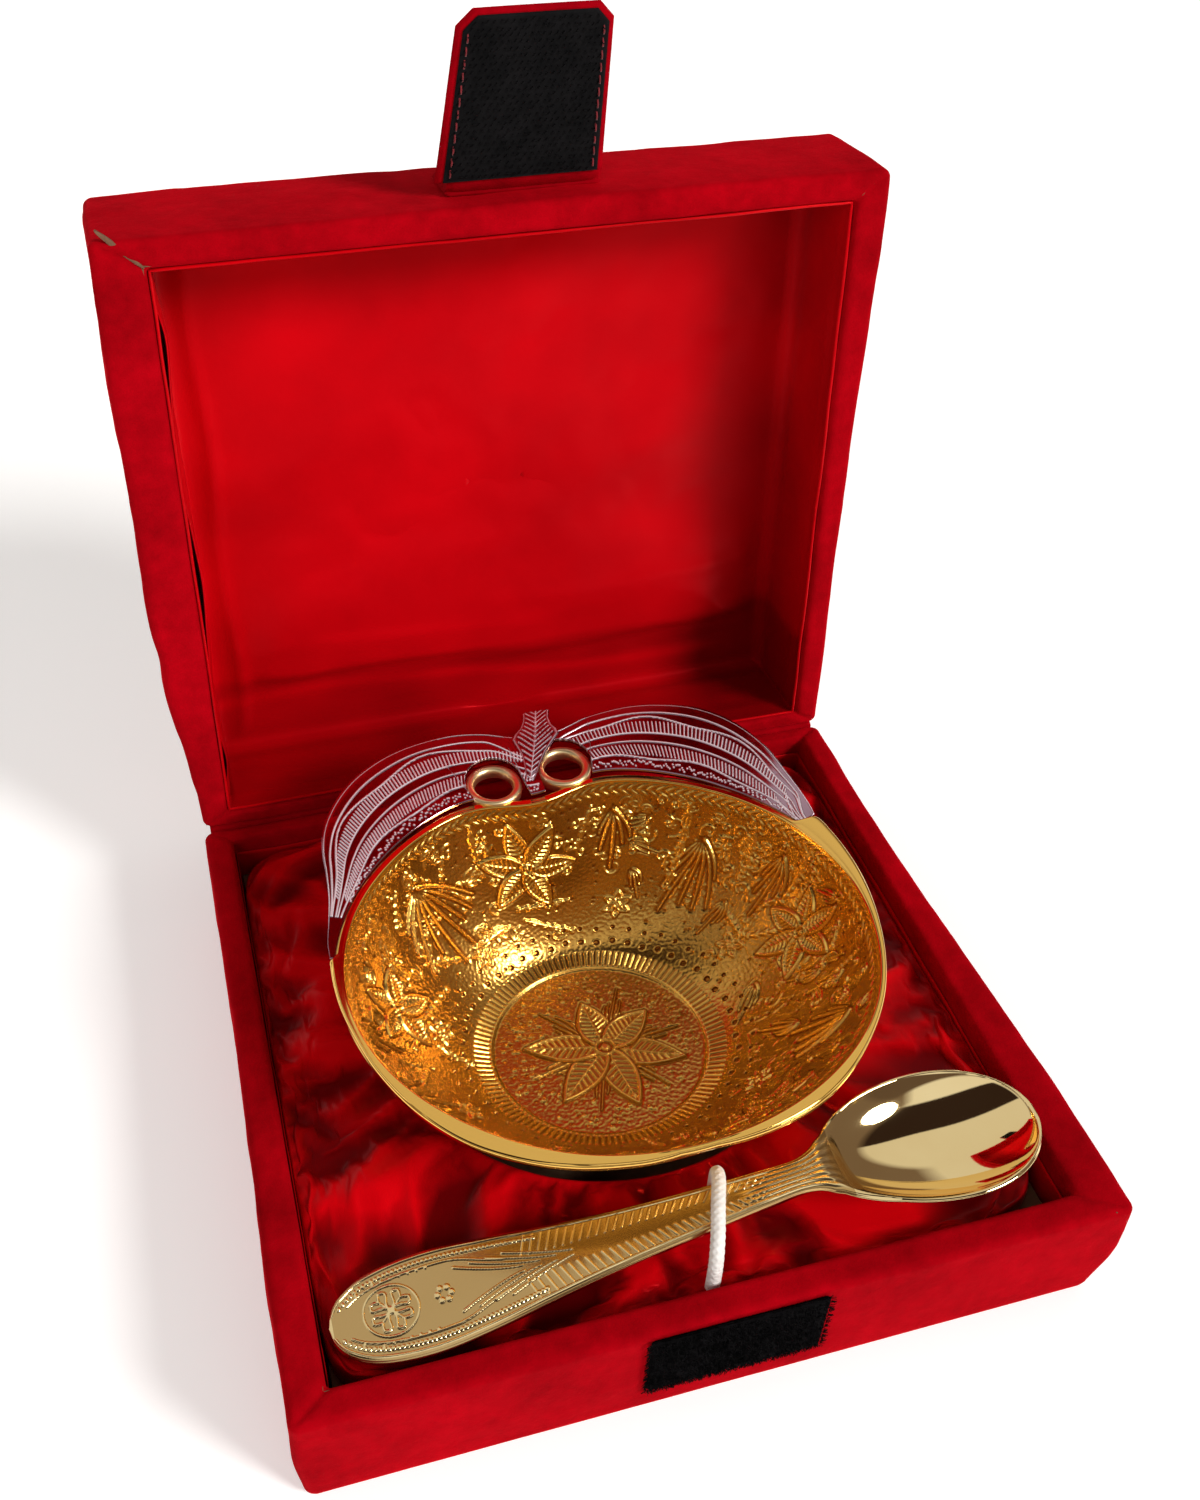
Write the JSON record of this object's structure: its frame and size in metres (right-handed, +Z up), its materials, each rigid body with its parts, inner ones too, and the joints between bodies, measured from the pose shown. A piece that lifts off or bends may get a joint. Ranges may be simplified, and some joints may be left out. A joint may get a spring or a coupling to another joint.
{
  "type": "offering bowl set in presentation box",
  "caption": "Apple-shaped chased offering bowl with a leaf plate and a matching spoon, bedded in a hinged velvet presentation box with a hook-and-loop strap.",
  "frame": {"origin": "centre of the box's underside", "axes": "+Z up, -Y towards the front of the box (loop patch), +X to the right seen from the front; the lid's hinge runs along X at the back"},
  "size_m": [0.152, 0.1793, 0.1992],
  "materials": {
    "velvet_red": "velvet pile",
    "satin_red": "satin",
    "board": "raw board",
    "bottom_paper": "matt paper",
    "foam": "soft foam",
    "gold_plate": "polished and chased",
    "silver_plate": "mirror, engraved",
    "spoon_gold": "mirror",
    "hook_tape": "hook tape",
    "loop_tape": "loop tape",
    "thread": "sewing thread",
    "elastic": "braided elastic"
  },
  "bodies": {
    "base": {"base_floor_board": "board", "base_front_board": "board", "base_back_board": "board", "base_left_board": "board", "base_right_board": "board", "base_velvet_wrap": "velvet_red", "base_bottom_sheet": "bottom_paper", "base_satin_lining": "satin_red", "front_loop_patch": "loop_tape", "hinge_cloth_base": "velvet_red", "bed_card": "board", "bed_foam": "foam", "bed_satin": "satin_red", "cord_knots": "elastic"},
    "lid": {"lid_velvet_wrap": "velvet_red", "lid_top_board": "board", "lid_front_board": "board", "lid_back_board": "board", "lid_left_board": "board", "lid_right_board": "board", "lid_satin_lining": "satin_red", "lid_pad_foam": "foam", "lid_pad_satin": "satin_red", "hinge_cloth_lid": "velvet_red", "strap_fixed_tab": "velvet_red"},
    "strap": {"strap_velvet": "velvet_red", "strap_card": "board", "strap_hook_pad": "hook_tape", "strap_stitching": "thread"},
    "bowl": {"bowl_body": "gold_plate", "bowl_foot_ring": "gold_plate", "eyelet_left": "gold_plate", "eyelet_right": "gold_plate", "leaf_plate": "silver_plate"},
    "spoon": {"spoon": "spoon_gold"},
    "cord": {"elastic_cord": "elastic"}
  },
  "joints": [
    {"name": "lid_hinge", "type": "hinge", "parent": "base", "child": "lid", "pos_m": [0, 0.069, 0.0265], "axis": [1, 0, 0], "range_deg": [-7, 95]},
    {"name": "strap_fold", "type": "hinge", "parent": "lid", "child": "strap", "pos_m": [0.0025, 0.08776, 0.1664], "axis": [1, 0, 0], "range_deg": [-60, 80]},
    {"name": "bowl_lift", "type": "slide", "parent": "base", "child": "bowl", "axis": [0, 0, -1], "range_m": [-0.07, 0]},
    {"name": "spoon_lift", "type": "slide", "parent": "base", "child": "spoon", "axis": [-0.1451, 0.208, -0.9673], "range_m": [-0.06, 0]},
    {"name": "cord_stretch", "type": "slide", "parent": "base", "child": "cord", "axis": [0, 0, -1], "range_m": [-0.003, 0], "deforming": ["elastic_cord"]}
  ]
}
